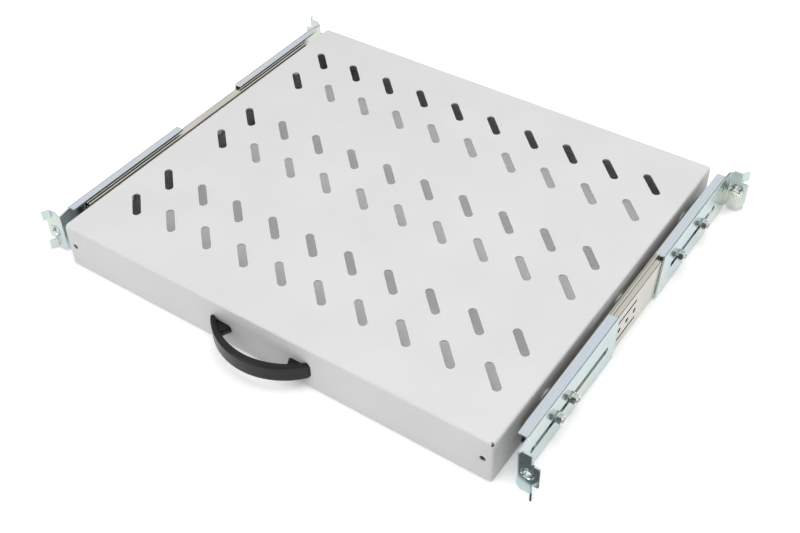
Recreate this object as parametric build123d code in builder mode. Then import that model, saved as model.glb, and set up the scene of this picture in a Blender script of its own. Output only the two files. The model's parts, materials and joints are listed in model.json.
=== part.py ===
"""Sliding rack shelf, one rack unit tall: a vented tray on two telescopic ball slides.

The frame's origin is midway between the two front rack holes, on the face of the
front ears that lies against the rack's posts. +X is to the right, +Y is to the back
and +Z is up. All sizes are in millimetres.
"""
import os
from math import cos, radians, sin, sqrt

from build123d import *

# Rack standard: the height of one unit and the step between the holes in a post
rack_unit = 44.45
rack_hole_step = 15.875

# Tray
tray_width = 417.6
tray_depth = 363.5
tray_height = 41.0
tray_sheet = 1.2
tray_front_overhang = 7.0
tray_corner_radius = 2.0
tray_bend_radius = 2.2
return_lip = 16.0
corner_relief_radius = 1.3
corner_relief_inset = 1.2
front_hole_radius = 2.6
front_hole_inset = 8.2

# Slots in the deck: five gaps between six rows, alternately narrow and wide
slot_pitch_x = 39.2
slot_columns = 10
slot_row_gaps = (40.0, 70.0, 40.0, 70.0, 40.0)
slot_last_row_inset = 50.5
slot_length = 29.0
slot_width = 7.2
slot_angle = -45.0

# Handle: a bowed band with a lower foot behind each end
handle_length = 99.0
handle_height = 15.5
handle_reach = 24.5
handle_drop = 23.35
handle_band_depth = 6.2
handle_band_end = 5.0
handle_end_radius = 4.5
handle_edge_radius = 1.6
handle_foot_spacing = 57.2
handle_foot_height = 8.5
handle_foot_reach = 11.0
handle_foot_lean = 4.8
handle_foot_radius = 3.5
handle_screw_spacing = 73.0
handle_screw_radius = 2.0
handle_screw_depth = 9.0
handle_screw_tip_gap = 0.6
handle_screw_head_radius = 4.0
handle_screw_head_height = 2.4

# Screws of every size: the recess, crown and tip as shares of the head and the shank
screw_clearance = 0.15
head_crown = 0.55
recess_length_share = 1.15
recess_width_share = 0.24
recess_depth_share = 0.5
tip_chamfer_share = 0.2

# Slides: each is three rails that nest in a space this deep and this tall
slide_length = 300.0
slide_front_inset = 28.0
slide_depth = 12.6
slide_height = 35.0
rail_sheet = 1.2
rail_bend_radius = 1.6
race_height = 2.6
ball_radius = 1.25
rear_bumper_length = 6.0
bumper_gap = 0.3
seat_gap = 0.05
outer_rail_reach = 8.0
outer_rail_lip = 3.1
outer_rail_crease_inset = 4.7
outer_rail_crease_depth = 0.45
middle_rail_start = 2.7
middle_rail_reach = 11.0
middle_rail_lip = 1.8
inner_rail_start = 5.3
outer_ball_depth = 4.6
inner_ball_depth = 7.6

# Ball cages
cage_length = 136.0
cage_sheet = 0.6
cage_flange = 0.8
cage_gap = 0.4
outer_cage_reach = 6.4
inner_cage_reach = 9.4
balls_in_row = 9
ball_pitch = 15.0
ball_pocket_gap = 0.15

# Openings in the outer rail's web, round a place this far behind the slide's front
web_openings_inset = 142.0
web_slot_length = 32.0
web_slot_width = 2.2
web_slot_height = 9.0
web_hole_radius = 2.4
web_hole_pitch = 13.0
web_hole_count = 3

# Screws, nuts and bosses that hold the inner rails on the tray
boss_height = 1.8
boss_base_radius = 8.0
boss_top_radius = 6.5
boss_screw_front_inset = 38.0
boss_screw_back_inset = 26.0
boss_screw_count = 3
m4_radius = 2.0
m4_head_radius = 3.8
m4_head_height = 2.2
m4_nut_flats = 7.0
m4_nut_height = 3.2
thread_stand_out = 0.8

# Brackets
bracket_sheet = 1.5
bracket_gap = 0.3
bracket_top = 21.6
bracket_bottom = -19.4
bracket_bend_radius = 2.0
flange_width = 8.2
front_flange_start = 12.0
front_flange_end = 148.0
front_plate_bottom_end = 146.0
front_slot_start = 17.0
front_slot_end = 135.0
rear_ear_setback = 36.5
rear_flange_start = 13.5
rear_flange_end = 134.5
rear_plate_bottom_end = 142.0
rear_slot_start = 30.0
rear_slot_end = 119.0
bracket_slot_width = 5.5

# Ears with two hooks each; the hole's offset makes the rack's 465.1 between columns of holes
ear_hole_offset = 7.55
ear_reach = 17.0
ear_spine_reach = 10.5
ear_hook_root = 3.0
ear_lug_half_height = 10.5
ear_corner_radius = 2.0
ear_neck_drop = 2.5
hook_height = 9.0
hook_flat = 4.0
hook_lip_length = 7.0
hook_lip_angle = 60.0
hook_bend_radius = 1.6
ear_hole_radius = 3.2
collar_radius = 3.9
dish_mouth_radius = 5.7
dish_floor_radius = 4.9
dish_depth = 1.1
dish_back_radius = 6.4
dish_back_top_radius = 5.6
dish_back_height = 0.9

# Studs, washers and nuts that clamp the brackets
front_stud_first = 55.0
front_stud_pitch = 22.0
rear_stud_back_inset = 21.0
rear_stud_pitch = 46.0
stud_radius = 2.5
stud_head_radius = 3.6
stud_stand_out = 1.6
stud_chamfer = 0.4
washer_radius = 5.0
washer_thickness = 1.0
nut_flats = 8.0
nut_height = 4.0
nut_bore_gap = 0.05

# Screws in the rear ears
rack_screw_radius = 3.0
rack_screw_length = 12.0
rack_screw_head_radius = 5.4
rack_screw_head_height = 3.6
rack_washer_radius = 6.3
rack_washer_thickness = 1.0

# Places worked out from the sizes above
deck_top = rack_unit / 2
tray_bottom = deck_top - tray_height
tray_front = -tray_front_overhang
tray_back = tray_front + tray_depth
tray_middle = (tray_front + tray_back) / 2
slide_front = slide_front_inset
slide_back = slide_front + slide_length
slide_middle = (slide_front + slide_back) / 2
web_openings_middle = slide_front + web_openings_inset
nested_back = slide_back - rear_bumper_length - bumper_gap
rail_inner_x = tray_width / 2 + boss_height
rail_outer_x = rail_inner_x + slide_depth
plate_inner_x = rail_outer_x + bracket_gap
plate_outer_x = plate_inner_x + bracket_sheet
ear_hole_x = plate_outer_x + ear_hole_offset
rear_ear_face = slide_back + rear_ear_setback
outer_half = slide_height / 2
outer_race_floor = outer_half - rail_sheet
middle_half = outer_race_floor - race_height
inner_race_floor = middle_half - rail_sheet
inner_half = inner_race_floor - race_height
outer_ball_height = (outer_race_floor + middle_half) / 2
inner_ball_height = (inner_race_floor + inner_half) / 2
boss_screw_first = slide_front + boss_screw_front_inset
boss_screw_last = slide_back - boss_screw_back_inset
boss_screw_pitch = (boss_screw_last - boss_screw_first) / (boss_screw_count - 1)
boss_screw_ys = [boss_screw_first + boss_screw_pitch * i for i in range(boss_screw_count)]
front_stud_ys = [front_stud_first, front_stud_first + front_stud_pitch]
rear_stud_last = slide_back - rear_stud_back_inset
rear_stud_ys = [rear_stud_last - rear_stud_pitch, rear_stud_last]
ball_ys = [slide_middle + ball_pitch * (i - (balls_in_row - 1) / 2) for i in range(balls_in_row)]

os.makedirs("parts", exist_ok=True)


def save(piece, name):
    """Label a finished piece and write it to its file."""
    piece.part.label = name
    export_step(piece.part, f"parts/{name}.step")


def cross_plane(y):
    """The plane across the slides at a distance y behind the ears; it faces the front."""
    return Plane(origin=(0, y, 0), x_dir=(1, 0, 0), z_dir=(0, -1, 0))


def side_plane(x, y=0.0):
    """A plane that faces out to the right; its own x runs to the back and its y runs up."""
    return Plane(origin=(x, y, 0), x_dir=(0, 1, 0), z_dir=(1, 0, 0))


def finish_side(side):
    """Every side piece is drawn for the right; the left one is its mirror image."""
    if side == "left":
        mirror(about=Plane.YZ, mode=Mode.REPLACE)


def pan_screw(radius, length, head_radius, head_height):
    """One cross-recessed pan-head screw; it seats on the origin and its shank runs along +Z."""
    recess_length = head_radius * recess_length_share
    recess_width = recess_length * recess_width_share
    with BuildPart() as piece:
        with BuildSketch():
            Circle(head_radius)
        extrude(amount=-head_height)
        fillet(piece.edges().group_by(Axis.Z)[0], head_height * head_crown)
        with BuildSketch(Plane.XY.offset(-head_height)):
            Rectangle(recess_length, recess_width)
            Rectangle(recess_width, recess_length)
        extrude(amount=head_height * recess_depth_share, mode=Mode.SUBTRACT)
        with BuildSketch():
            Circle(radius)
        extrude(amount=length)
        chamfer(piece.edges().group_by(Axis.Z)[-1], radius * tip_chamfer_share)
    return piece


def hexagon_nut(flats, height, bore_radius):
    """One nut that stands on the origin; its outer corners are cut back to a cone."""
    with BuildPart() as piece:
        with BuildSketch():
            RegularPolygon(flats / 2, 6, major_radius=False)
        extrude(amount=height)
        Cone(
            flats / 2 + height * sqrt(3),
            flats / 2,
            height,
            align=(Align.CENTER, Align.CENTER, Align.MIN),
            mode=Mode.INTERSECT,
        )
        with BuildSketch():
            Circle(bore_radius)
        extrude(amount=height, mode=Mode.SUBTRACT)
    return piece


def tray():
    """One folded sheet: a slotted deck, four walls and a lip turned in along each wall."""
    with BuildPart() as piece:
        with BuildSketch(Plane((0, tray_middle, tray_bottom))):
            RectangleRounded(tray_width, tray_depth, tray_corner_radius)
        extrude(amount=tray_height)
        fillet(piece.edges().group_by(Axis.Z)[-1], tray_bend_radius)
        with BuildSketch(Plane((0, tray_middle, tray_bottom + tray_sheet))):
            RectangleRounded(
                tray_width - 2 * tray_sheet,
                tray_depth - 2 * tray_sheet,
                tray_corner_radius - tray_sheet,
            )
        extrude(amount=tray_height - 2 * tray_sheet, mode=Mode.SUBTRACT)
        with BuildSketch(Plane((0, tray_middle, tray_bottom))):
            Rectangle(tray_width - 2 * return_lip, tray_depth - 2 * return_lip)
        extrude(amount=tray_sheet, mode=Mode.SUBTRACT)

        # Six rows of slanted slots
        row_y = tray_back - slot_last_row_inset
        rows = [row_y]
        for gap in slot_row_gaps:
            row_y -= gap
            rows.append(row_y)
        first_x = -slot_pitch_x * (slot_columns - 1) / 2
        spots = [(first_x + slot_pitch_x * i, y) for y in rows for i in range(slot_columns)]
        with BuildSketch(Plane.XY.offset(deck_top)):
            with Locations(*spots):
                SlotOverall(slot_length, slot_width, rotation=slot_angle)
        extrude(amount=-2 * tray_sheet, mode=Mode.SUBTRACT)

        # Small round reliefs where the folds of two walls meet
        with BuildSketch(Plane((0, tray_middle, deck_top))):
            with GridLocations(
                tray_width - 2 * corner_relief_inset, tray_depth - 2 * corner_relief_inset, 2, 2
            ):
                Circle(corner_relief_radius)
        extrude(amount=-2 * tray_bend_radius, mode=Mode.SUBTRACT)

        # Two holes near the ends of the front wall and two for the handle's screws
        with BuildSketch(cross_plane(tray_front)):
            with Locations((0, deck_top - tray_height / 2)):
                with GridLocations(tray_width - 2 * front_hole_inset, 0, 2, 1):
                    Circle(front_hole_radius)
            with Locations((0, deck_top - handle_drop)):
                with GridLocations(handle_screw_spacing, 0, 2, 1):
                    Circle(handle_screw_radius + screw_clearance)
        extrude(amount=-2 * tray_sheet, mode=Mode.SUBTRACT)

        # Pressed bosses on the side walls that the inner rails are screwed to
        for x_dir in (1, -1):
            outward = Vector(x_dir, 0, 0)
            for y in boss_screw_ys:
                wall = Plane(origin=(x_dir * tray_width / 2, y, 0), x_dir=(0, 1, 0), z_dir=outward)
                with Locations(wall):
                    Cone(
                        boss_base_radius,
                        boss_top_radius,
                        boss_height,
                        align=(Align.CENTER, Align.CENTER, Align.MIN),
                    )
                inside = wall.offset(-tray_sheet)
                with Locations(inside):
                    Cone(
                        boss_base_radius - tray_sheet,
                        boss_top_radius - tray_sheet,
                        boss_height,
                        align=(Align.CENTER, Align.CENTER, Align.MIN),
                        mode=Mode.SUBTRACT,
                    )
                with Locations(wall.offset(boss_height)):
                    Hole(m4_radius + screw_clearance, depth=2 * tray_sheet)
    return piece


def handle():
    """A bowed band of black plastic with a lower foot behind each end."""
    half = handle_length / 2
    gap_half = half - handle_band_end
    gap_depth = handle_reach - handle_band_depth
    foot_start = handle_foot_spacing / 2
    middle = deck_top - handle_drop
    with BuildPart() as piece:
        # The feet, rounded on the side where the fingers go
        with BuildSketch(Plane((0, tray_front, middle - handle_foot_height / 2))):
            Polygon(
                (foot_start, 0),
                (foot_start + handle_foot_lean, -handle_foot_reach),
                (half - handle_band_end / 2, 0),
                align=None,
            )
            mirror(about=Plane.YZ)
        extrude(amount=handle_foot_height)
        level = piece.edges().filter_by(Axis.Z, reverse=True)
        fillet(level.sort_by(lambda edge: abs(edge.center().X))[:4], handle_foot_radius)

        # The band, bowed in plan, with its ends rounded as seen from the front
        with BuildSketch(Plane((0, tray_front, middle - handle_height / 2))):
            with BuildLine():
                ThreePointArc((-half, 0), (0, -handle_reach), (half, 0))
                Line((half, 0), (-half, 0))
            make_face()
            with BuildLine():
                ThreePointArc((-gap_half, 0), (0, -gap_depth), (gap_half, 0))
                Line((gap_half, 0), (-gap_half, 0))
            make_face(mode=Mode.SUBTRACT)
        extrude(amount=handle_height)
        rims = piece.edges().filter_by(GeomType.CIRCLE).group_by(Axis.Z)
        fillet(rims[0] + rims[-1], handle_edge_radius)
        with BuildSketch(cross_plane(tray_front)):
            with Locations((0, middle)):
                RectangleRounded(handle_length, handle_height, handle_end_radius)
        extrude(amount=handle_reach, mode=Mode.INTERSECT)
        with BuildSketch(cross_plane(tray_front)):
            with Locations((0, middle)):
                with GridLocations(handle_screw_spacing, 0, 2, 1):
                    Circle(handle_screw_radius + seat_gap)
        extrude(amount=handle_screw_depth, mode=Mode.SUBTRACT)
    return piece


def handle_screws():
    """Two screws driven from inside the front wall into the handle's feet."""
    length = tray_sheet + handle_screw_depth - handle_screw_tip_gap
    one = pan_screw(
        handle_screw_radius, length, handle_screw_head_radius, handle_screw_head_height
    )
    with BuildPart() as piece:
        with Locations(cross_plane(tray_front + tray_sheet)):
            with Locations((0, deck_top - handle_drop)):
                with GridLocations(handle_screw_spacing, 0, 2, 1):
                    add(one.part)
    return piece


def channel(start, reach, half, lip):
    """The right-hand half of a rail: a web and two flanges, each with a lip turned inwards.

    start and reach are depths in from the outer rail's face, and half is half the height.
    """
    web = rail_outer_x - start - rail_sheet / 2
    tip = rail_outer_x - reach + rail_sheet / 2
    top = half - rail_sheet / 2
    with BuildLine() as path:
        FilletPolyline(
            (tip, top - lip),
            (tip, top),
            (web, top),
            (web, -top),
            (tip, -top),
            (tip, -top + lip),
            radius=rail_bend_radius - rail_sheet / 2,
        )
    trace(path.line, line_width=rail_sheet)


def outer_rail(side):
    """The rail that the brackets are clamped to."""
    with BuildPart() as piece:
        with BuildSketch(cross_plane(slide_front)):
            channel(0, outer_rail_reach, outer_half, outer_rail_lip - rail_sheet / 2)
        extrude(amount=-slide_length)

        # A crease rolled along each flange, where the race for the balls begins
        with BuildSketch(cross_plane(slide_front)):
            with Locations((rail_outer_x - outer_rail_crease_inset, 0)):
                with GridLocations(0, slide_height, 1, 2):
                    RegularPolygon(outer_rail_crease_depth, 4)
        extrude(amount=-slide_length, mode=Mode.SUBTRACT)

        # Holes for the studs, two long slots and a row of holes
        with BuildSketch(side_plane(rail_outer_x)):
            with Locations(*[(y, 0) for y in front_stud_ys + rear_stud_ys]):
                Circle(stud_head_radius + seat_gap)
            with Locations((web_openings_middle, 0)):
                with GridLocations(0, 2 * web_slot_height, 1, 2):
                    SlotOverall(web_slot_length, web_slot_width)
                with GridLocations(web_hole_pitch, 0, web_hole_count, 1):
                    Circle(web_hole_radius)
        extrude(amount=-rail_sheet - cage_gap / 2, mode=Mode.SUBTRACT)
        finish_side(side)
    return piece


def middle_rail(side):
    """The rail between the two rows of balls."""
    with BuildPart() as piece:
        with BuildSketch(cross_plane(slide_front)):
            channel(
                middle_rail_start,
                middle_rail_reach,
                middle_half,
                middle_rail_lip - rail_sheet / 2,
            )
        extrude(amount=slide_front - nested_back)
        finish_side(side)
    return piece


def inner_rail(side):
    """The rail that is screwed to the tray; its web faces the tray."""
    web = rail_inner_x + rail_sheet / 2
    tip = rail_outer_x - inner_rail_start
    top = inner_half - rail_sheet / 2
    with BuildPart() as piece:
        with BuildSketch(cross_plane(slide_front)):
            with BuildLine() as path:
                FilletPolyline(
                    (tip, top),
                    (web, top),
                    (web, -top),
                    (tip, -top),
                    radius=rail_bend_radius - rail_sheet / 2,
                )
            trace(path.line, line_width=rail_sheet)
        extrude(amount=slide_front - nested_back)
        with BuildSketch(side_plane(rail_inner_x)):
            with Locations(*[(y, 0) for y in boss_screw_ys]):
                Circle(m4_radius + screw_clearance)
        extrude(amount=2 * rail_sheet, mode=Mode.SUBTRACT)
        finish_side(side)
    return piece


def ball_cage(side, start, reach, height, ball_depth):
    """A thin channel with a round pocket for each ball."""
    web = rail_outer_x - start - cage_sheet
    tip = rail_outer_x - reach
    low = height - cage_flange / 2
    high = height + cage_flange / 2
    with BuildPart() as piece:
        with BuildSketch(cross_plane(slide_middle - cage_length / 2)):
            with BuildLine():
                Polyline(
                    (tip, high),
                    (web + cage_sheet, high),
                    (web + cage_sheet, -high),
                    (tip, -high),
                    (tip, -low),
                    (web, -low),
                    (web, low),
                    (tip, low),
                    close=True,
                )
            make_face()
        extrude(amount=-cage_length)
        with BuildSketch(Plane.XY.offset(-high)):
            with Locations(*[(rail_outer_x - ball_depth, y) for y in ball_ys]):
                Circle(ball_radius + ball_pocket_gap)
        extrude(amount=2 * high, mode=Mode.SUBTRACT)
        finish_side(side)
    return piece


def balls(side, height, ball_depth):
    """The two rows of balls that one cage carries."""
    spots = [(rail_outer_x - ball_depth, y, z) for z in (height, -height) for y in ball_ys]
    with BuildPart() as piece:
        with Locations(*spots):
            Sphere(ball_radius)
        finish_side(side)
    return piece


def rear_bumper(side):
    """The plastic block at the back of the outer rail that the other rails close against."""
    near = rail_outer_x - rail_sheet - seat_gap
    far = rail_outer_x - outer_rail_reach + rail_sheet + seat_gap
    height = 2 * (outer_race_floor - seat_gap)
    with BuildPart() as piece:
        with BuildSketch(cross_plane(slide_back - rear_bumper_length)):
            with Locations(((near + far) / 2, 0)):
                RectangleRounded(near - far, height, rail_bend_radius - rail_sheet + seat_gap)
        extrude(amount=-rear_bumper_length)
        finish_side(side)
    return piece


def front_bumper(side):
    """The plastic block inside the front end of the inner rail."""
    near = rail_outer_x - inner_rail_start
    far = rail_inner_x + rail_sheet + seat_gap
    height = 2 * (inner_half - rail_sheet - seat_gap)
    with BuildPart() as piece:
        with BuildSketch(cross_plane(slide_front)):
            with Locations(((near + far) / 2, 0)):
                RectangleRounded(near - far, height, rail_bend_radius - rail_sheet + seat_gap)
        extrude(amount=-rear_bumper_length)
        finish_side(side)
    return piece


def slide_screws(side):
    """Screws from inside the tray, through its bosses and the inner rail's web."""
    seat = rail_inner_x - tray_sheet
    length = tray_sheet + rail_sheet + m4_nut_height + thread_stand_out
    one = pan_screw(m4_radius, length, m4_head_radius, m4_head_height)
    with BuildPart() as piece:
        with Locations(*[side_plane(seat, y) for y in boss_screw_ys]):
            add(one.part)
        finish_side(side)
    return piece


def slide_nuts(side):
    """The nuts of those screws, inside the inner rail."""
    one = hexagon_nut(m4_nut_flats, m4_nut_height, m4_radius + nut_bore_gap)
    with BuildPart() as piece:
        with Locations(*[side_plane(rail_inner_x + rail_sheet, y) for y in boss_screw_ys]):
            add(one.part)
        finish_side(side)
    return piece


def bracket(side, ear_face, inward, flange_span, bottom_end, slot_span):
    """A plate with a top flange, a long slot and an ear with two hooks.

    inward is +1 on a front bracket and -1 on a rear one. Spans and ends are distances
    from the ear's face towards the middle of the shelf. The plate ends with the flange
    along its top edge and at bottom_end along its bottom edge.
    """
    def along(distance):
        return ear_face + inward * distance

    fold = bracket_bend_radius
    flange_x = plate_outer_x - flange_width
    plate_mid_x = plate_inner_x + bracket_sheet / 2
    slot_middle = along((slot_span[0] + slot_span[1]) / 2)
    hooks = (rack_hole_step, -rack_hole_step)
    ear_top = rack_hole_step + hook_height / 2
    neck = ear_top - ear_neck_drop
    root_x = plate_outer_x + ear_hook_root
    spine_x = plate_outer_x + ear_spine_reach
    lug_x = plate_outer_x + ear_reach
    with BuildPart() as piece:
        # The plate, cut back at its ear end to the height of the ear's neck
        with BuildSketch(side_plane(plate_inner_x)):
            with BuildLine():
                Polyline(
                    (along(fold), neck),
                    (along(flange_span[0]), bracket_top - fold),
                    (along(flange_span[1]), bracket_top - fold),
                    (along(bottom_end), bracket_bottom),
                    (along(flange_span[0]), bracket_bottom),
                    (along(fold), -neck),
                    close=True,
                )
            make_face()
            with Locations((slot_middle, 0)):
                SlotOverall(slot_span[1] - slot_span[0], bracket_slot_width, mode=Mode.SUBTRACT)
        extrude(amount=bracket_sheet)

        # The flange along the top, with its fold
        with BuildSketch(cross_plane(min(along(flange_span[0]), along(flange_span[1])))):
            with BuildLine() as path:
                FilletPolyline(
                    (flange_x, bracket_top - bracket_sheet / 2),
                    (plate_mid_x, bracket_top - bracket_sheet / 2),
                    (plate_mid_x, bracket_top - 2 * fold),
                    radius=fold - bracket_sheet / 2,
                )
            trace(path.line, line_width=bracket_sheet)
        extrude(amount=flange_span[0] - flange_span[1])

        # The fold between the plate and the ear
        with BuildSketch(Plane.XY.offset(-neck)):
            with BuildLine() as path:
                FilletPolyline(
                    (plate_mid_x, along(2 * fold)),
                    (plate_mid_x, along(bracket_sheet / 2)),
                    (plate_inner_x + 2 * fold, along(bracket_sheet / 2)),
                    radius=fold - bracket_sheet / 2,
                )
            trace(path.line, line_width=bracket_sheet)
        extrude(amount=2 * neck)

        # The ear: a spine, a lug with the screw's hole and the roots of the hooks
        with BuildSketch(cross_plane(min(along(0), along(bracket_sheet)))) as ear:
            with BuildLine():
                Polyline(
                    (plate_inner_x + fold, neck),
                    (root_x, ear_top),
                    (spine_x, ear_top),
                    (spine_x, ear_lug_half_height),
                    (lug_x, ear_lug_half_height),
                    (lug_x, -ear_lug_half_height),
                    (spine_x, -ear_lug_half_height),
                    (spine_x, -ear_top),
                    (root_x, -ear_top),
                    (plate_inner_x + fold, -neck),
                    close=True,
                )
            make_face()
            fillet(ear.vertices().group_by(Axis.X)[-1], ear_corner_radius)
        extrude(amount=-bracket_sheet)

        # Two hooks that lean out and away from the shelf
        lean = radians(hook_lip_angle)
        mid_y = along(bracket_sheet / 2)
        lip_x = spine_x + hook_lip_length * cos(lean)
        lip_y = mid_y - inward * hook_lip_length * sin(lean)
        for z in hooks:
            with BuildSketch(Plane.XY.offset(z - hook_height / 2)):
                with BuildLine() as path:
                    FilletPolyline(
                        (spine_x - hook_flat, mid_y),
                        (spine_x, mid_y),
                        (lip_x, lip_y),
                        radius=hook_bend_radius,
                    )
                trace(path.line, line_width=bracket_sheet)
            extrude(amount=hook_height)

        # A pressed dish round the screw's hole, with a collar standing in it
        out = Plane(origin=(ear_hole_x, ear_face, 0), x_dir=(1, 0, 0), z_dir=(0, inward, 0))
        with Locations(out.offset(bracket_sheet)):
            Cone(
                dish_back_radius,
                dish_back_top_radius,
                dish_back_height,
                align=(Align.CENTER, Align.CENTER, Align.MIN),
            )
        with Locations(out):
            Cone(
                dish_mouth_radius,
                dish_floor_radius,
                dish_depth,
                align=(Align.CENTER, Align.CENTER, Align.MIN),
                mode=Mode.SUBTRACT,
            )
        with BuildSketch(out):
            Circle(collar_radius)
        extrude(amount=bracket_sheet)
        with BuildSketch(out):
            Circle(ear_hole_radius)
        extrude(amount=bracket_sheet + dish_back_height, mode=Mode.SUBTRACT)
        finish_side(side)
    return piece


def clamp_studs(side, ys):
    """Studs pressed into the outer rail's web."""
    washer_face = plate_outer_x + bracket_gap
    end = washer_face + washer_thickness + nut_height + stud_stand_out
    with BuildPart() as piece:
        with BuildSketch(side_plane(rail_outer_x - rail_sheet)):
            with Locations(*[(y, 0) for y in ys]):
                Circle(stud_head_radius)
        extrude(amount=rail_sheet)
        with BuildSketch(side_plane(rail_outer_x)):
            with Locations(*[(y, 0) for y in ys]):
                Circle(stud_radius)
        extrude(amount=end - rail_outer_x)
        chamfer(piece.edges().group_by(Axis.X)[-1], stud_chamfer)
        finish_side(side)
    return piece


def clamp_washers(side, ys):
    """Plain washers between the bracket and its nuts."""
    with BuildPart() as piece:
        with BuildSketch(side_plane(plate_outer_x + bracket_gap)):
            with Locations(*[(y, 0) for y in ys]):
                Circle(washer_radius)
            with Locations(*[(y, 0) for y in ys]):
                Circle(stud_radius + screw_clearance, mode=Mode.SUBTRACT)
        extrude(amount=washer_thickness)
        finish_side(side)
    return piece


def clamp_nuts(side, ys):
    """Hexagon nuts on the studs."""
    seat = plate_outer_x + bracket_gap + washer_thickness
    one = hexagon_nut(nut_flats, nut_height, stud_radius + nut_bore_gap)
    with BuildPart() as piece:
        with Locations(*[side_plane(seat, y) for y in ys]):
            add(one.part)
        finish_side(side)
    return piece


def rack_washer(side):
    """The washer under the head of a rear ear's screw."""
    seat = rear_ear_face - bracket_sheet - dish_back_height
    with BuildPart() as piece:
        with BuildSketch(cross_plane(seat)):
            with Locations((ear_hole_x, 0)):
                Circle(rack_washer_radius)
                Circle(rack_screw_radius + screw_clearance, mode=Mode.SUBTRACT)
        extrude(amount=rack_washer_thickness)
        finish_side(side)
    return piece


def rack_screw(side):
    """The screw through a rear ear, driven from inside the rack."""
    seat = rear_ear_face - bracket_sheet - dish_back_height - rack_washer_thickness
    one = pan_screw(
        rack_screw_radius, rack_screw_length, rack_screw_head_radius, rack_screw_head_height
    )
    with BuildPart() as piece:
        with Locations(Plane(origin=(ear_hole_x, seat, 0), x_dir=(1, 0, 0), z_dir=(0, 1, 0))):
            add(one.part)
        finish_side(side)
    return piece


save(tray(), "tray")
save(handle(), "handle")
save(handle_screws(), "handle_screws")

front_shape = dict(
    ear_face=0.0,
    inward=1,
    flange_span=(front_flange_start, front_flange_end),
    bottom_end=front_plate_bottom_end,
    slot_span=(front_slot_start, front_slot_end),
)
rear_shape = dict(
    ear_face=rear_ear_face,
    inward=-1,
    flange_span=(rear_flange_start, rear_flange_end),
    bottom_end=rear_plate_bottom_end,
    slot_span=(rear_slot_start, rear_slot_end),
)
outer_cage = dict(start=rail_sheet + cage_gap, reach=outer_cage_reach, height=outer_ball_height)
inner_cage = dict(
    start=middle_rail_start + rail_sheet + cage_gap, reach=inner_cage_reach, height=inner_ball_height
)

for side in ("left", "right"):
    save(outer_rail(side), f"{side}_outer_rail")
    save(middle_rail(side), f"{side}_middle_rail")
    save(inner_rail(side), f"{side}_inner_rail")
    save(ball_cage(side, ball_depth=outer_ball_depth, **outer_cage), f"{side}_outer_ball_cage")
    save(ball_cage(side, ball_depth=inner_ball_depth, **inner_cage), f"{side}_inner_ball_cage")
    save(balls(side, outer_ball_height, outer_ball_depth), f"{side}_outer_balls")
    save(balls(side, inner_ball_height, inner_ball_depth), f"{side}_inner_balls")
    save(rear_bumper(side), f"{side}_rear_bumper")
    save(front_bumper(side), f"{side}_front_bumper")
    save(slide_screws(side), f"{side}_slide_screws")
    save(slide_nuts(side), f"{side}_slide_nuts")
    for end, shape, stud_ys in (
        ("front", front_shape, front_stud_ys),
        ("rear", rear_shape, rear_stud_ys),
    ):
        save(bracket(side, **shape), f"{end}_{side}_bracket")
        save(clamp_studs(side, stud_ys), f"{end}_{side}_clamp_studs")
        save(clamp_washers(side, stud_ys), f"{end}_{side}_clamp_washers")
        save(clamp_nuts(side, stud_ys), f"{end}_{side}_clamp_nuts")
    save(rack_screw(side), f"rear_{side}_rack_screw")
    save(rack_washer(side), f"rear_{side}_rack_washer")
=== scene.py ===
# %% [markdown]
# A sliding rack shelf, dressed for the camera
#
# The real object is a folded steel tray, powder coated in light grey, that pulls out of an
# equipment rack on two ball slides. Zinc plated brackets with hooked ears hold the slides on
# the rack's posts. Its pieces could be modelled again here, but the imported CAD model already
# has every one at its true size, so this lesson keeps them and spends its effort on finishes,
# on the camera and on light.

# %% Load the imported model
import json
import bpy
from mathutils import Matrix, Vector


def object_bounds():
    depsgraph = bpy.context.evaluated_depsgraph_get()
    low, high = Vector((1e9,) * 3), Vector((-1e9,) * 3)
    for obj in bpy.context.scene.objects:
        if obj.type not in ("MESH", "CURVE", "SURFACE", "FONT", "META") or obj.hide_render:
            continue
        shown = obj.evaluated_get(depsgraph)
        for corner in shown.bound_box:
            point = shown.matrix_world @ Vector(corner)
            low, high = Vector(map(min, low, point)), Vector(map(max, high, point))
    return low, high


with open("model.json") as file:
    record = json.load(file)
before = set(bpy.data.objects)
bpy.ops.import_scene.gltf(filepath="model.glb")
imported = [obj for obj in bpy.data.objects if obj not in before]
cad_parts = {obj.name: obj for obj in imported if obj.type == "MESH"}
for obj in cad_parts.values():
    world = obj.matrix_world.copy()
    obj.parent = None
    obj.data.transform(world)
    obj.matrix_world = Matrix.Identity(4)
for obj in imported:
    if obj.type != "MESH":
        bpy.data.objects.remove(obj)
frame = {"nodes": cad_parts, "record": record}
cad_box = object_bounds()
nodes = frame["nodes"]
print("nodes", len(nodes), "box", [round(v, 4) for corner in cad_box for v in corner])

# %% [markdown]
# Units and a clean start
#
# Blender counts in metres and the maker in millimetres. Each pattern below could be given a
# bare scale, but a size in millimetres can be checked against the real surface, so one value
# turns it into metres. An operator acts on all that is selected, and a loaded model is
# selected, so the lesson starts by deselecting everything.

# %% Tools from Blender
from math import pi, radians

import bpy
from mathutils import Matrix, Vector

mm = 0.001
scene = bpy.context.scene
bpy.ops.object.select_all(action="DESELECT")
print("Blender", bpy.app.version_string)

# %% [markdown]
# Helpers for materials
#
# Every finish here is a Principled shader with a little net of texture nodes in front of it.
# The net could be written out node by node, but one function that adds a node, sets its
# sockets and returns it lets a finish read from top to bottom as a recipe. Colours are
# written as sRGB hex, as a painter would pick them, and turned into the linear numbers that
# the renderer works in.

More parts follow.
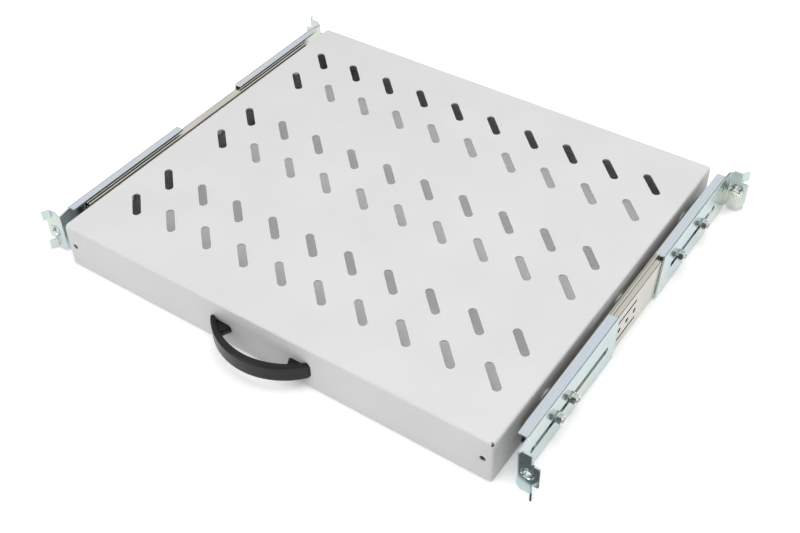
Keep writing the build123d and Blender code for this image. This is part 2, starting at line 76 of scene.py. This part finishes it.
# %% Colour and node helpers
def linear(hex_colour):
    """The linear RGBA of an sRGB hex colour such as '#d9dadb'."""
    digits = hex_colour.lstrip("#")
    out = []
    for i in (0, 2, 4):
        c = int(digits[i : i + 2], 16) / 255
        out.append(c / 12.92 if c <= 0.04045 else ((c + 0.055) / 1.055) ** 2.4)
    return (*out, 1.0)


def add_node(tree, kind, inputs=None, **settings):
    """Add a node; inputs maps its sockets to a value or to the output socket to link."""
    node = tree.nodes.new(kind)
    for name, value in settings.items():
        setattr(node, name, value)
    for socket, value in (inputs or {}).items():
        if isinstance(value, bpy.types.NodeSocket):
            tree.links.new(value, node.inputs[socket])
        else:
            node.inputs[socket].default_value = value
    return node


def start_material(name):
    """A new material, its node tree, its shader and its Object coordinates."""
    material = bpy.data.materials.new(name)
    material.use_nodes = True
    tree = material.node_tree
    shader = tree.nodes["Principled BSDF"]
    coords = add_node(tree, "ShaderNodeTexCoord").outputs["Object"]
    return material, tree, shader, coords


def ramp(tree, factor, low, high, start=0.0, end=1.0):
    """A value that runs from low to high while the factor runs from start to end."""
    node = add_node(
        tree,
        "ShaderNodeMapRange",
        {"Value": factor, "From Min": start, "From Max": end, "To Min": low, "To Max": high},
    )
    return node.outputs["Result"]


def blend_colours(tree, factor, first, second):
    """A mix of two colours, each a hex value or another node's colour."""
    colours = [linear(c) if isinstance(c, str) else c for c in (first, second)]
    # A Mix node's sockets 6 and 7 are its two colours, and its output 2 is their mix.
    node = add_node(
        tree,
        "ShaderNodeMix",
        {"Factor": factor, 6: colours[0], 7: colours[1]},
        data_type="RGBA",
    )
    return node.outputs[2]


def noise(tree, coords, size_mm, detail=2.0, stretch=(1, 1, 1)):
    """Noise with features about size_mm across, drawn out where its stretch is under 1."""
    placed = add_node(tree, "ShaderNodeMapping", {"Vector": coords, "Scale": stretch})
    texture = add_node(
        tree,
        "ShaderNodeTexNoise",
        {"Vector": placed.outputs["Vector"], "Scale": 1 / (size_mm * mm), "Detail": detail},
    )
    return texture.outputs["Fac"]


def bump(tree, height, depth_mm, normal=None):
    """A bump whose height runs over depth_mm, on top of another normal if one is given."""
    inputs = {"Height": height, "Distance": depth_mm * mm, "Strength": 1.0}
    if normal is not None:
        inputs["Normal"] = normal
    return add_node(tree, "ShaderNodeBump", inputs).outputs["Normal"]


def rounded_normal(tree, radius_mm, samples):
    """The normal that the surface would have if its corners were rounded."""
    inputs = {"Radius": radius_mm * mm}
    return add_node(tree, "ShaderNodeBevel", inputs, samples=samples).outputs["Normal"]


def edge_mask(tree, radius_mm):
    """1 where the surface turns a corner within radius_mm, 0 on flat ground."""
    rounded = rounded_normal(tree, radius_mm, samples=4)
    flat = add_node(tree, "ShaderNodeNewGeometry").outputs["Normal"]
    dot = add_node(tree, "ShaderNodeVectorMath", {0: rounded, 1: flat}, operation="DOT_PRODUCT")
    return ramp(tree, dot.outputs["Value"], 1.0, 0.0, start=0.72, end=0.99)


print("helpers ready")

# %% [markdown]
# Powder coat on the tray
#
# Powder is sprayed dry onto the steel and baked until it flows, so it keeps a faint orange
# peel about 1.5 mm across and a satin sheen. Its sharp edges are painted lighter, a painted
# highlight of the light they catch. The peel could be cut into the mesh, but it is only a
# hundredth of a millimetre deep, so it is drawn as bump, and the flow as slow changes of
# colour and gloss.

# %% Powder coat
def powder_coat():
    """Light grey powder coat with orange peel and a painted highlight on its edges."""
    material, tree, shader, coords = start_material("grey_powder_coat_baked")
    flow = noise(tree, coords, size_mm=60)
    speck = noise(tree, coords, size_mm=1.1, detail=1)
    flow_share = ramp(tree, flow, 0, 1, start=0.35, end=0.65)
    speck_share = ramp(tree, speck, 0, 0.30, start=0.3, end=0.8)
    # painted highlight: edges are painted lighter, as if they caught the light
    edge_highlight_share = ramp(tree, edge_mask(tree, radius_mm=0.7), 0, 0.5)
    base = blend_colours(tree, flow_share, "#d4d4d4", "#d8d8d8")
    grained = blend_colours(tree, speck_share, base, "#cccccc")
    # the painted edge highlight is mixed into the colour here
    edge_highlighted = blend_colours(tree, edge_highlight_share, grained, "#e6e7e7")
    gloss = ramp(tree, flow, 0.42, 0.50, start=0.3, end=0.7)
    peel = bump(tree, noise(tree, coords, size_mm=1.5, detail=1), depth_mm=0.010)
    grit = bump(tree, noise(tree, coords, size_mm=0.35), depth_mm=0.004, normal=peel)
    tree.links.new(edge_highlighted, shader.inputs["Base Color"])
    tree.links.new(gloss, shader.inputs["Roughness"])
    tree.links.new(grit, shader.inputs["Normal"])
    shader.inputs["Specular IOR Level"].default_value = 0.4
    return material


finishes = {"grey_powder_coat": powder_coat()}
print("finish", finishes["grey_powder_coat"].name)

# %% [markdown]
# Blue passivated zinc on the brackets
#
# The brackets are stamped from mild steel and barrel plated with zinc. The clear blue
# passivate is thinner than a wavelength of light, so it shows soft bands of blue, green and
# lilac that wander over some 20 to 40 mm. A thin film shader could work the bands out, but
# they would change with the angle far more than these do, so slow noise mixes them. Rolling
# leaves fine lines along the bracket. Faces that look up get a cooler tone, a painted
# reflection of the sky, and edges are painted bright, a painted highlight.

# %% Zinc plate
def zinc_plate():
    """Zinc plate with passivate bands, rolling lines, a painted sky reflection on faces that
    look up and a painted highlight on edges.
    """
    material, tree, shader, coords = start_material("blue_passivated_zinc")
    broad = noise(tree, coords, size_mm=52, stretch=(1, 0.45, 1.3))
    second = noise(tree, coords, size_mm=30, detail=1, stretch=(1, 0.6, 1.4))
    lines = noise(tree, coords, size_mm=0.7, stretch=(1, 0.05, 1))
    facing = add_node(tree, "ShaderNodeNewGeometry").outputs["Normal"]
    up = add_node(tree, "ShaderNodeSeparateXYZ", {"Vector": facing}).outputs["Z"]
    broad_share = ramp(tree, broad, 0, 1, start=0.36, end=0.62)
    second_share = ramp(tree, second, 0, 0.7, start=0.56, end=0.74)
    # painted reflection: faces that look up are painted cooler, as if they mirrored the sky
    sky_reflection_share = ramp(tree, up, 0, 0.75, start=0.5, end=0.95)
    line_share = ramp(tree, lines, 0, 0.35, start=0.35, end=0.75)
    # painted highlight: edges are painted bright, as if they caught the light
    edge_highlight_share = ramp(tree, edge_mask(tree, radius_mm=0.5), 0, 0.8)
    blue_green = blend_colours(tree, broad_share, "#b3c9cc", "#cfd5c8")
    bands = blend_colours(tree, second_share, blue_green, "#c9cbdb")
    # the painted sky reflection is mixed into the colour here
    sky_reflected = blend_colours(tree, sky_reflection_share, bands, "#cbd2de")
    drawn = blend_colours(tree, line_share, sky_reflected, "#dce1e1")
    edge_highlighted = blend_colours(tree, edge_highlight_share, drawn, "#f1f4f4")
    gloss = ramp(tree, lines, 0.17, 0.30, start=0.3, end=0.8)
    dents = bump(tree, noise(tree, coords, size_mm=9, detail=1), depth_mm=0.03)
    tree.links.new(edge_highlighted, shader.inputs["Base Color"])
    shader.inputs["Metallic"].default_value = 1.0
    tree.links.new(gloss, shader.inputs["Roughness"])
    tree.links.new(bump(tree, lines, depth_mm=0.006, normal=dents), shader.inputs["Normal"])
    return material


finishes["zinc_plate"] = zinc_plate()
print("finish", finishes["zinc_plate"].name)

# %% [markdown]
# Rolled zinc steel on the slides
#
# Slide rails are roll formed from zinc coated strip. Their metal is warmer than the brackets'
# and carries long straight lines from the rolls, all along the slide. An anisotropic shader
# could stretch the highlights, but the lines themselves can be seen, so noise drawn out
# fifty times along the slide makes them.

# %% Slide steel
def slide_steel():
    """Warm zinc coated strip with long roll lines and a painted highlight on its edges."""
    material, tree, shader, coords = start_material("roll_formed_zinc_steel")
    lines = noise(tree, coords, size_mm=0.6, detail=3, stretch=(1, 0.02, 1))
    cloud = noise(tree, coords, size_mm=45)
    cloud_share = ramp(tree, cloud, 0, 1, start=0.35, end=0.65)
    line_share = ramp(tree, lines, 0, 0.5, start=0.35, end=0.75)
    # painted highlight: edges are painted bright, as if they caught the light
    edge_highlight_share = ramp(tree, edge_mask(tree, radius_mm=0.5), 0, 0.8)
    warm = blend_colours(tree, cloud_share, "#bab9ae", "#cbc6c1")
    drawn = blend_colours(tree, line_share, warm, "#d8d7cd")
    edge_highlighted = blend_colours(tree, edge_highlight_share, drawn, "#f4f1e6")
    gloss = ramp(tree, lines, 0.16, 0.28, start=0.3, end=0.8)
    tree.links.new(edge_highlighted, shader.inputs["Base Color"])
    shader.inputs["Metallic"].default_value = 1.0
    tree.links.new(gloss, shader.inputs["Roughness"])
    tree.links.new(bump(tree, lines, depth_mm=0.005), shader.inputs["Normal"])
    return material


finishes["rail_steel"] = slide_steel()
print("finish", finishes["rail_steel"].name)

# %% [markdown]
# Fasteners, cages and balls
#
# Screws, nuts, studs and washers are bright zinc too, but small turned and headed pieces are
# smoother than sheet. The ball cages are plain stamped strip, and the balls are polished.
# Three recipes could be written, but the steels differ only in colour, gloss and grain, so
# one recipe serves them all.

# %% Small steel pieces
def small_steel(name, dark, light, rough, grain_mm):
    """Plated or polished steel, with patches nine grains across and a painted highlight on its
    edges.
    """
    material, tree, shader, coords = start_material(name)
    grain = noise(tree, coords, size_mm=grain_mm)
    patch = noise(tree, coords, size_mm=grain_mm * 9, detail=1)
    patch_share = ramp(tree, patch, 0, 1, start=0.35, end=0.65)
    # painted highlight: edges are painted bright, as if they caught the light
    edge_highlight_share = ramp(tree, edge_mask(tree, radius_mm=0.3), 0, 0.7)
    tone = blend_colours(tree, patch_share, dark, light)
    edge_highlighted = blend_colours(tree, edge_highlight_share, tone, "#fbfbf8")
    gloss = ramp(tree, grain, rough, rough + 0.10, start=0.3, end=0.7)
    tree.links.new(edge_highlighted, shader.inputs["Base Color"])
    shader.inputs["Metallic"].default_value = 1.0
    tree.links.new(gloss, shader.inputs["Roughness"])
    tree.links.new(bump(tree, grain, depth_mm=0.004), shader.inputs["Normal"])
    return material


for slot, name, dark, light, rough, grain_mm in (
    ("plated_fastener", "bright_zinc_fastener", "#cfd3d0", "#e8eae6", 0.11, 0.6),
    ("cage_steel", "stamped_strip_steel", "#a9a9a6", "#bdbdb9", 0.30, 0.8),
    ("ball_steel", "polished_ball_steel", "#d2d3d4", "#e2e3e4", 0.06, 1.5),
):
    finishes[slot] = small_steel(name, dark, light, rough, grain_mm)
    print("finish", finishes[slot].name)

# %% [markdown]
# Moulded plastic
#
# The handle is glass filled nylon from a spark eroded mould: black, with a satin grain about
# half a millimetre across and slow patches a touch lighter where hands and packing have rubbed
# it. Its edges are painted lighter, a painted highlight. Its corners flow into each other. A
# bevel in the mesh could do that, but the CAD mesh stays as it is, so a Bevel node rounds the
# light over them.

# %% Black plastic
def moulded_plastic(name, deep, rubbed, rough):
    """Black plastic with a satin grain, soft corners and a painted highlight on its edges."""
    material, tree, shader, coords = start_material(name)
    grain = noise(tree, coords, size_mm=0.5)
    cloud = noise(tree, coords, size_mm=14)
    rub_share = ramp(tree, cloud, 0, 0.6, start=0.35, end=0.65)
    # painted highlight: edges are painted lighter, as if they caught the light
    edge_highlight_share = ramp(tree, edge_mask(tree, radius_mm=0.6), 0, 0.35)
    base = blend_colours(tree, rub_share, deep, rubbed)
    edge_highlighted = blend_colours(tree, edge_highlight_share, base, "#3a3b3c")
    gloss = ramp(tree, cloud, rough - 0.04, rough + 0.05)
    soft = rounded_normal(tree, radius_mm=2.8, samples=8)
    tree.links.new(edge_highlighted, shader.inputs["Base Color"])
    tree.links.new(gloss, shader.inputs["Roughness"])
    tree.links.new(bump(tree, grain, depth_mm=0.012, normal=soft), shader.inputs["Normal"])
    shader.inputs["Specular IOR Level"].default_value = 0.30
    return material


for slot, name, deep, rubbed, rough in (
    ("handle_plastic", "satin_black_nylon", "#0e0f0f", "#161717", 0.31),
    ("bumper_plastic", "black_polymer_bumper", "#161718", "#202122", 0.5),
):
    finishes[slot] = moulded_plastic(name, deep, rubbed, rough)
    print("finish", finishes[slot].name)

# %% [markdown]
# Put the finishes on the pieces
#
# On the real shelf each piece comes from its own supplier with its own finish. They could be
# dressed one by one, but the record says which finish each piece takes, so one loop dresses
# them all. Only the material slots change; the meshes stay as the CAD made them.

# %% Dress the CAD pieces
slot_of = {part["node"]: part["material_slot"] for part in frame["record"]["subparts"]}
for name, node in nodes.items():
    node.data.materials.clear()
    node.data.materials.append(finishes[slot_of[name]])
print("dressed", len(slot_of), "pieces in", len(finishes), "finishes")

# %% [markdown]
# The camera
#
# The photograph is taken from the front right corner and from well above. The view could be
# set by eye, but the tray's slots are a regular grid, so place, angles and lens come from
# fitting the grid and the shelf's corners to where the picture shows them.

# %% Camera
eye = Vector((0.4447, -0.4357, 0.6452))
azimuth, elevation, roll = radians(35.81), radians(43.08), radians(-1.82)
lens_mm, sensor_mm = 51.76, 36.0
camera_data = bpy.data.cameras.new("product_camera")
camera_data.lens = lens_mm
camera_data.sensor_width = sensor_mm
camera_data.clip_start = 10 * mm
camera = bpy.data.objects.new("product_camera", camera_data)
turn = Matrix.Rotation(azimuth, 4, "Z") @ Matrix.Rotation(pi / 2 - elevation, 4, "X")
camera.matrix_world = Matrix.Translation(eye) @ turn @ Matrix.Rotation(roll, 4, "Z")
scene.collection.objects.link(camera)
scene.camera = camera
print("camera at", tuple(round(v, 3) for v in eye), "lens", lens_mm)

# %% [markdown]
# The sweep
#
# The shelf lies on a white paper sweep. More light could make the paper white, but it would
# also bleach the shelf, so the paper glows a little to the camera and in reflections, and
# still shows the shade below the slots. Further out it glows more, as a sweep does where it
# curves up behind, so low views have a white ground too.

# %% Floor
def seen_directly(tree):
    """1 for camera, glossy and transmission rays, 0 for the rays that carry soft light."""
    path = add_node(tree, "ShaderNodeLightPath")
    most = path.outputs["Is Camera Ray"]
    for name in ("Is Glossy Ray", "Is Transmission Ray"):
        inputs = {0: most, 1: path.outputs[name]}
        most = add_node(tree, "ShaderNodeMath", inputs, operation="MAXIMUM").outputs[0]
    return most


paper_side = 14
paper_gap = 0.4 * mm  # below the lowest piece, so that no face lies in the paper
near_glow, far_glow = 0.24, 1.0
glow_starts, glow_ends = 0.8, 2.2  # metres from the shelf's front

floor_z = cad_box[0][2] - paper_gap
bpy.ops.mesh.primitive_plane_add(size=paper_side, location=(0, 0, floor_z))
floor = bpy.context.object
floor.name = "studio_floor"
sweep, tree, shader, coords = start_material("white_paper_sweep")
shader.inputs["Base Color"].default_value = linear("#f4f4f4")
shader.inputs["Roughness"].default_value = 0.9
shader.inputs["Emission Color"].default_value = linear("#ffffff")
reach = add_node(tree, "ShaderNodeVectorMath", {0: coords}, operation="LENGTH").outputs["Value"]
glow = ramp(tree, reach, near_glow, far_glow, start=glow_starts, end=glow_ends)
tree.links.new(ramp(tree, seen_directly(tree), 0.0, glow), shader.inputs["Emission Strength"])
floor.data.materials.append(sweep)
print("floor at", round(floor_z, 4))

# %% [markdown]
# Lamps and sky
#
# Soft boxes stand above, in front on the left, and low behind on the right, so the shadow is
# faint and wide and the tray's front is only a little darker than its top. One bright sky
# could light it all, but then every face would look alike. Metal would mirror the first and
# the last lamp as bare white, so those two are hidden from reflections. The sky is dim as
# light and white where it is seen.

# %% Lamps
def soft_lamp(name, place, aim, size, power, mirrored):
    """A square area lamp that looks from place to aim; metal shows it if it is mirrored."""
    data = bpy.data.lights.new(name, "AREA")
    data.shape = "SQUARE"
    data.size = size
    data.energy = power
    lamp = bpy.data.objects.new(name, data)
    aimed = (Vector(aim) - Vector(place)).to_track_quat("-Z", "Y").to_matrix().to_4x4()
    lamp.matrix_world = Matrix.Translation(Vector(place)) @ aimed
    lamp.visible_glossy = mirrored
    scene.collection.objects.link(lamp)
    print(name, power, "W")


for name, place, aim, size, power, mirrored in (
    ("top_softbox", (0.25, 0.0, 1.7), (0.05, 0.15, 0), 1.5, 21, False),
    ("front_softbox", (-0.9, -1.6, 1.1), (0, 0.1, 0), 1.2, 13, True),
    ("right_rear_softbox", (1.45, 1.9, 0.7), (0.2, 0.3, 0), 0.8, 17, False),
):
    soft_lamp(name, place, aim, size, power, mirrored)

sky_light, sky_seen = 0.36, 1.0
world = bpy.data.worlds.new("studio_world")
scene.world = world
world.use_nodes = True
sky_tree = world.node_tree
sky = sky_tree.nodes["Background"]
sky.inputs["Color"].default_value = linear("#ffffff")
sky_tree.links.new(
    ramp(sky_tree, seen_directly(sky_tree), sky_light, sky_seen), sky.inputs["Strength"]
)
print("sky", sky_light, "as light")

# %% [markdown]
# Dark flags for the metal
#
# Bright metal in an all white room looks like white plastic, so a photographer stands dark
# cloth around the set. Darker metal colours could stand in for it, but they would take the
# sparkle too. A low ring of cloth draws dark lines along folds and on nuts, and a grey card
# on the paper before the front right ear gives that ear its darker face. Only reflections
# see them.

# %% Flags
def cloth_flag(flag, name, colour):
    """Name a studio flag, cover it with cloth and let only reflections see it."""
    flag.name = name
    cloth, _, shader, _ = start_material(name + "_cloth")
    shader.inputs["Base Color"].default_value = linear(colour)
    shader.inputs["Roughness"].default_value = 1.0
    flag.data.materials.append(cloth)
    flag.visible_camera = False
    flag.visible_diffuse = False
    flag.visible_transmission = False
    flag.visible_shadow = False
    print("flag", name)


ring_radius, ring_height = 3.2, 1.15
ring_lift = 0.15  # from the paper to the cloth's lower edge
ring_y = 0.15
bpy.ops.mesh.primitive_cylinder_add(
    vertices=96,
    radius=ring_radius,
    depth=ring_height,
    end_fill_type="NOTHING",
    location=(0, ring_y, floor_z + ring_lift + ring_height / 2),
)
cloth_flag(bpy.context.object, "studio_ring", "#101010")

card_x, card_y = 0.232, -0.0435
card_width, card_depth = 80 * mm, 72 * mm
card_turn = radians(13)
card_lift = 0.2 * mm
bpy.ops.mesh.primitive_plane_add(
    size=1, location=(card_x, card_y, floor_z + card_lift), rotation=(0, 0, card_turn)
)
bpy.context.object.scale = (card_width, card_depth, 1)
cloth_flag(bpy.context.object, "studio_front_card", "#606262")

# %% [markdown]
# Colour management
#
# Blender's usual view transform bends colours as film does. That suits a landscape, but here
# a finish has to come out as its hex value says, so the plain Standard transform is set.

# %% View transform
scene.view_settings.view_transform = "Standard"
print("view transform", scene.view_settings.view_transform)
